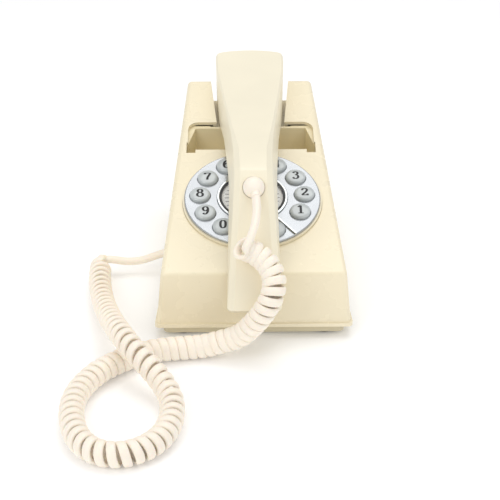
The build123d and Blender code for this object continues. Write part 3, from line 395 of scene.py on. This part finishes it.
# ---- curly cord -------------------------------------------------------------
CABLE_WIDE, CABLE_THICK = 5.2, 2.9
LEAD_WIDE, LEAD_THICK = 5.0, 4.2     # the cable is rounder where it isn't coiled
COIL_R = 7.2 - CABLE_THICK / 2
ROUTE = (
    (1.0, -76.0, 90.6), (1.6, -81.6, 87.2), (1.2, -88.4, 82.8), (-0.3, -95.2, 78.6),
    (-2.9, -101.2, 74.2), (-6.0, -104.6, 69.4), (-8.6, -98.8, 68.4), (-2.0, -97.0, 65.0),
    (5.0, -99.8, 61.4), (10.6, -106.0, 55.6), (11.3, -111.5, 50.0), (9.5, -115.0, 43.5),
    (5.0, -116.0, 34.7), (-1.3, -114.0, 25.0), (-9.0, -110.9, 15.5), (-18.9, -109.3, 11.6),
    (-29.8, -107.5, 7.3), (-41.6, -108.8, 7.2), (-52.9, -110.2, 7.2), (-64.5, -113.6, 7.2),
    (-78.2, -122.8, 7.2), (-88.2, -132.2, 7.2), (-95.8, -144.7, 7.2), (-100.6, -158.2, 7.2),
    (-101.7, -173.6, 7.2), (-99.4, -188.8, 7.2), (-94.7, -202.0, 7.2), (-87.0, -211.6, 7.2),
    (-77.7, -215.6, 7.2), (-68.2, -215.0, 7.2), (-59.4, -210.0, 7.2), (-51.8, -201.5, 7.2),
    (-47.2, -189.6, 7.2), (-45.8, -176.0, 7.3), (-47.4, -163.5, 8.4), (-51.9, -153.8, 11.4),
    (-58.4, -146.6, 16.0), (-65.9, -139.0, 20.6), (-72.4, -130.0, 22.8), (-77.0, -120.0, 23.0),
    (-82.2, -105.0, 20.4), (-87.8, -83.0, 15.4), (-93.2, -58.0, 10.2), (-97.0, -34.0, 7.6),
    (-98.4, -17.0, 7.2), (-98.9, -6.4, 7.2), (-96.0, -3.2, 11.6), (-90.0, -2.4, 10.6),
    (-82.0, -1.6, 8.6), (-73.0, -0.8, 8.8), (-65.5, -0.3, 11.4), (-57.0, 0.0, 14.4),
)
FIRST_COIL, LAST_COIL = 6, 45      # the coil's own stretch of the route
# distance between turns at places along the coil, as a share of its length
PITCHES = ((0.0, 5.3), (0.15, 5.2), (0.28, 5.4), (0.34, 6.3), (0.46, 6.3), (0.52, 5.7), (0.59, 5.9),
           (0.64, 6.6), (0.76, 6.3), (0.86, 7.2), (0.96, 7.2), (1.0, 6.4))
# how far the turns lean over towards the back there, in degrees
LEANS = ((0.0, 0), (0.28, 0), (0.34, 10), (0.46, 10), (0.52, 0), (0.59, 0), (0.64, 16), (0.76, 14),
         (0.86, 24), (0.96, 24), (1.0, 8))


def spline_points(points):
    """Dense points on the smooth curve that has these control points."""
    curve = bpy.data.curves.new("route", "CURVE")
    curve.dimensions = "3D"
    curve.resolution_u = 20
    spline = curve.splines.new("NURBS")
    spline.points.add(len(points) - 1)
    for held, point in zip(spline.points, points):
        held.co = (point[0] * MM, point[1] * MM, point[2] * MM, 1)
    spline.order_u = 3
    spline.use_endpoint_u = True
    route = bpy.data.objects.new("route", curve)
    scene.collection.objects.link(route)
    mesh = bpy.data.meshes.new_from_object(route.evaluated_get(bpy.context.evaluated_depsgraph_get()))
    dense = [v.co.copy() for v in mesh.vertices]
    bpy.data.objects.remove(route)
    bpy.data.meshes.remove(mesh)
    return dense


def even_points(points, step):
    """Points a fixed distance apart along a polyline, and that distance."""
    lengths = [0.0]
    for before, after in zip(points, points[1:]):
        lengths.append(lengths[-1] + (after - before).length)
    count = ceil(lengths[-1] / step)
    step = lengths[-1] / count
    spaced = []
    at = 0
    for i in range(count + 1):
        want = min(i * step, lengths[-1])
        while at < len(points) - 2 and lengths[at + 1] < want:
            at += 1
        run = lengths[at + 1] - lengths[at]
        spaced.append(points[at].lerp(points[at + 1], (want - lengths[at]) / run if run else 0))
    return spaced, step


def nearest(points, target):
    """Index of the point nearest to a target."""
    goal = Vector(target) * MM
    return min(range(len(points)), key=lambda i: (points[i] - goal).length_squared)


def along(table, share):
    """A table's value at a share of the coil's length."""
    for (low, start), (high, stop) in zip(table, table[1:]):
        if share <= high:
            return start + (stop - start) * (share - low) / (high - low)
    return table[-1][1]


def ease(value):
    """Smooth step from 0 to 1."""
    value = min(1.0, max(0.0, value))
    return value * value * (3 - 2 * value)


line, STEP = even_points(spline_points(ROUTE), 0.2 * MM)
first = nearest(line, ROUTE[FIRST_COIL])
last = nearest(line, ROUTE[LAST_COIL])
tangents = [(line[min(i + 1, len(line) - 1)] - line[max(i - 1, 0)]).normalized() for i in range(len(line))]

# a sideways direction carried along the line without twisting
side = [None] * len(line)
to_front = Vector((0.3, -1.0, 0.1))
side[first] = (to_front - tangents[first] * to_front.dot(tangents[first])).normalized()
for i in range(first + 1, len(line)):
    turned = tangents[i - 1].rotation_difference(tangents[i])
    side[i] = (turned @ side[i - 1]).normalized()
for i in range(first - 1, -1, -1):
    turned = tangents[i + 1].rotation_difference(tangents[i])
    side[i] = (turned @ side[i + 1]).normalized()

# turn angle at each point of the coil, scaled so that the last turn ends on top
coil_length = (last - first) * STEP
angles = [0.0]
for i in range(first, last):
    angles.append(angles[-1] + 2 * pi * STEP / (along(PITCHES, (i - first) * STEP / coil_length) * MM))
up = Vector((0, 0, 1))
other = tangents[last].cross(side[last])
final = atan2(up.dot(other), up.dot(side[last]))
whole = round((angles[-1] - final) / (2 * pi))
scale = (2 * pi * whole + final) / angles[-1]
angles = [a * scale for a in angles]

FADE = 6.5 * MM      # over this length the cable leaves the coil's middle for its outside
cord_path, thin_way, coiled = [], [], []
for i, point in enumerate(line):
    if i < first:
        reach = ease(1 - (first - i) * STEP / FADE)
        way = side[first]
        thin = side[i]
    elif i > last:
        reach = ease(1 - (i - last) * STEP / FADE)
        way = Matrix.Rotation(-radians(LEANS[-1][1]), 3, "X") @ up
        thin = side[i] * cos(angles[-1]) + tangents[i].cross(side[i]) * sin(angles[-1])
    else:
        angle = angles[i - first]
        reach = 1.0
        way = side[i] * cos(angle) + tangents[i].cross(side[i]) * sin(angle)
        lean = radians(along(LEANS, (i - first) * STEP / coil_length))
        way = Matrix.Rotation(-lean, 3, "X") @ way
        thin = way
    cord_path.append(point + way * reach * COIL_R * MM)
    thin_way.append(thin.normalized())
    coiled.append(reach)

# even spacing along the cable itself, and what goes with each of its points
smooth_path, PATH_STEP = even_points(cord_path, 1.45 * MM)
thin_even, coiled_even = [], []
at, walked = 0, 0.0
for i in range(len(smooth_path)):
    want = i * PATH_STEP
    while at < len(cord_path) - 2:
        run = (cord_path[at + 1] - cord_path[at]).length
        if walked + run >= want:
            break
        walked += run
        at += 1
    thin_even.append(thin_way[at])
    coiled_even.append(coiled[at])

SECTION = 14
FLAT_ENDS, FLAT_SIDES = 0.7, 0.8     # powers under 1 square off the cable's oval section
builder = bmesh.new()
rings = []
for i, point in enumerate(smooth_path):
    ahead = smooth_path[min(i + 1, len(smooth_path) - 1)] - smooth_path[max(i - 1, 0)]
    ahead.normalize()
    thin = thin_even[i] - ahead * thin_even[i].dot(ahead)
    thin.normalize()
    wide = ahead.cross(thin)
    width = LEAD_WIDE + (CABLE_WIDE - LEAD_WIDE) * coiled_even[i]
    thickness = LEAD_THICK + (CABLE_THICK - LEAD_THICK) * coiled_even[i]
    ring = []
    for j in range(SECTION):
        turn = 2 * pi * (j + 0.5) / SECTION
        c, s = cos(turn), sin(turn)
        x = abs(c) ** FLAT_ENDS * (1 if c >= 0 else -1) * width / 2 * MM
        y = abs(s) ** FLAT_SIDES * (1 if s >= 0 else -1) * thickness / 2 * MM
        ring.append(builder.verts.new(point + wide * x + thin * y))
    rings.append(ring)
for before, after in zip(rings, rings[1:]):
    for j in range(SECTION):
        k = (j + 1) % SECTION
        builder.faces.new((before[j], before[k], after[k], after[j]))
builder.faces.new(list(reversed(rings[0])))
builder.faces.new(rings[-1])
bmesh.ops.recalc_face_normals(builder, faces=builder.faces)
mesh = bpy.data.meshes.new("curly_cord")
builder.to_mesh(mesh)
builder.free()
smooth(mesh, 60)
mesh.materials.append(ivory_cord)
curly_cord = link("curly_cord", mesh)
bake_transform(curly_cord)
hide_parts("cord_lead_handset", "cord_coil_hanging", "cord_coil_floor", "cord_lead_base")

# ---- floor and light --------------------------------------------------------
builder = bmesh.new()
bmesh.ops.create_grid(builder, x_segments=1, y_segments=1, size=3)
mesh = bpy.data.meshes.new("floor")
builder.to_mesh(mesh)
builder.free()
floor_look = plastic("floor_white", (253, 253, 253), 0.9, spread=0.003, bump=0.0)
floor_look.node_tree.nodes["Principled BSDF"].inputs["Emission Color"].default_value = (1, 1, 1, 1)
floor_look.node_tree.nodes["Principled BSDF"].inputs["Emission Strength"].default_value = 0.1
mesh.materials.append(floor_look)
floor = link("floor", mesh)
floor.location.z = -0.0002

world = bpy.data.worlds.new("studio")
world.use_nodes = True
world.node_tree.nodes["Background"].inputs["Color"].default_value = (1, 1, 1, 1)
world.node_tree.nodes["Background"].inputs["Strength"].default_value = 0.56
scene.world = world


def soft_box(name, place, aim, size, power):
    """Square area light that faces a point."""
    data = bpy.data.lights.new(name, "AREA")
    data.size = size
    data.energy = power
    lamp = bpy.data.objects.new(name, data)
    lamp.location = place
    lamp.rotation_euler = (Vector(aim) - Vector(place)).to_track_quat("-Z", "Y").to_euler()
    scene.collection.objects.link(lamp)


soft_box("overhead", (0.15, 0.25, 1.5), (0, 0, 0), 1.3, 9)
soft_box("front_left", (-0.9, -1.0, 1.0), (0, -0.05, 0.03), 0.9, 6.0)
soft_box("front_right", (1.0, -0.9, 0.8), (0, -0.05, 0.03), 0.8, 2.5)
scene.view_settings.view_transform = "Standard"
scene.view_settings.look = "None"
